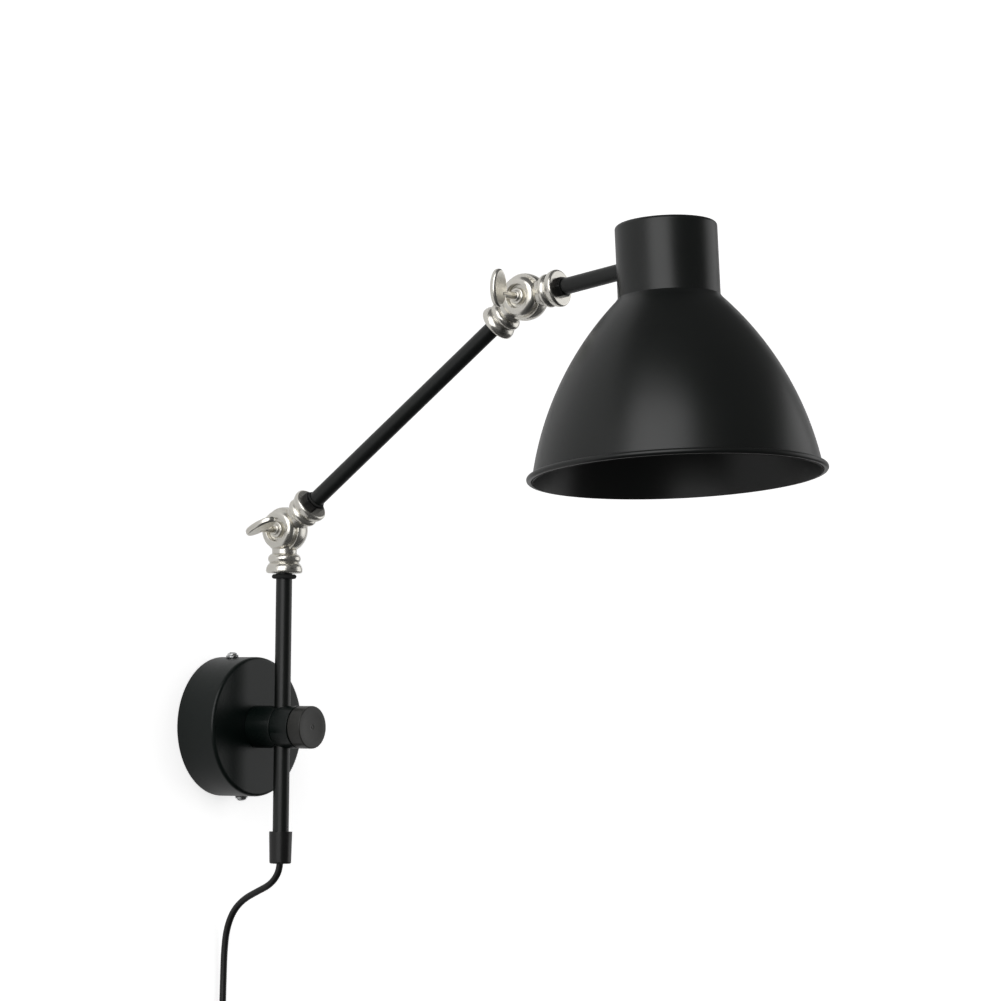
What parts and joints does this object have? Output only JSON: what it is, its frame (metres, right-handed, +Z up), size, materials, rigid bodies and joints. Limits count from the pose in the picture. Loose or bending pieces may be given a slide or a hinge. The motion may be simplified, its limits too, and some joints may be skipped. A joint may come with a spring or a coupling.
{
  "type": "articulating wall lamp",
  "caption": "Wall lamp with a round cover, clamped stem, two knuckle joints with wing screws, tube arms and a bell shade.",
  "frame": {"origin": "centre of the round cover's back, in the wall plane", "axes": "+Y into the wall, +Z up; the lamp stands out towards -Y"},
  "size_m": [0.2106, 0.523, 0.7197],
  "materials": {
    "black_metal": "fine satin powder coat",
    "black_plastic": "matt",
    "nickel": "satin nickel",
    "zinc_steel": "zinc plated",
    "black_rubber": "matt",
    "cord_black": "matt",
    "porcelain": "glazed",
    "brass_contact": "bright",
    "fibre": "vulcanised fibre"
  },
  "bodies": {
    "wall": {"wall_bracket": "zinc_steel", "bracket_nut": "zinc_steel", "cover_nut": "zinc_steel", "clamp_spindle": "zinc_steel", "rose_cover": "black_metal", "cover_screws": "zinc_steel", "rear_jaw": "black_metal", "front_jaw": "black_metal", "knob_washer": "black_plastic"},
    "clamp_knob": {"clamp_knob": "black_metal"},
    "liner": {"swivel_liner": "black_plastic"},
    "stem": {"stem_tube": "black_metal", "stem_end_cap": "black_plastic", "stem_o_ring": "black_rubber", "stem_lead": "cord_black", "lower_knuckle_near_half": "nickel", "lower_friction_washer": "fibre", "supply_cord_drop": "cord_black", "supply_cord_coil": "cord_black", "supply_cord_tail": "cord_black", "coil_tie": "black_plastic", "mains_plug": "black_plastic", "plug_pins": "nickel"},
    "lower_wing": {"lower_wing_screw": "nickel"},
    "long_arm": {"lower_knuckle_far_half": "nickel", "lower_lock_nut": "black_metal", "long_arm_ring": "black_rubber", "long_arm_tube": "black_metal", "long_arm_lead": "cord_black", "upper_shim_ring": "black_metal", "upper_knuckle_near_half": "nickel", "upper_friction_washer": "fibre"},
    "upper_wing": {"upper_wing_screw": "nickel"},
    "head": {"upper_knuckle_far_half": "nickel", "upper_lock_nut": "black_metal", "short_arm_tube": "black_metal", "short_arm_lead": "cord_black", "shade_neck_nut": "zinc_steel", "lamp_shade": "black_metal", "holder_hub": "zinc_steel", "holder_nipple": "zinc_steel", "lampholder_cap": "black_plastic", "lampholder_shell": "black_plastic", "lampholder_insert": "porcelain", "lamp_thread_contact": "brass_contact", "lamp_centre_contact": "brass_contact"}
  },
  "joints": [
    {"name": "knob_turn", "type": "hinge", "parent": "wall", "child": "clamp_knob", "pos_m": [0, -0.08, 0], "axis": [0, -1, 0], "range_deg": [0, 360]},
    {"name": "stem_swivel", "type": "hinge", "parent": "wall", "child": "liner", "pos_m": [0, -0.058, 0], "axis": [0, 0, 1], "range_deg": [-65, 65]},
    {"name": "stem_height", "type": "slide", "parent": "liner", "child": "stem", "axis": [0, 0, 1], "range_m": [-0.07, 0.058]},
    {"name": "lower_wing_turn", "type": "hinge", "parent": "stem", "child": "lower_wing", "pos_m": [0, -0.058, 0.1464], "axis": [-1, 0, 0], "range_deg": [0, 360]},
    {"name": "long_arm_tilt", "type": "hinge", "parent": "stem", "child": "long_arm", "pos_m": [0, -0.058, 0.1464], "axis": [-1, 0, 0], "range_deg": [-50, 45]},
    {"name": "upper_wing_turn", "type": "hinge", "parent": "long_arm", "child": "upper_wing", "pos_m": [0, -0.27898, 0.30974], "axis": [-1, 0, 0], "range_deg": [0, 360]},
    {"name": "head_tilt", "type": "hinge", "parent": "long_arm", "child": "head", "pos_m": [0, -0.27898, 0.30974], "axis": [-1, 0, 0], "range_deg": [-45, 60]}
  ]
}
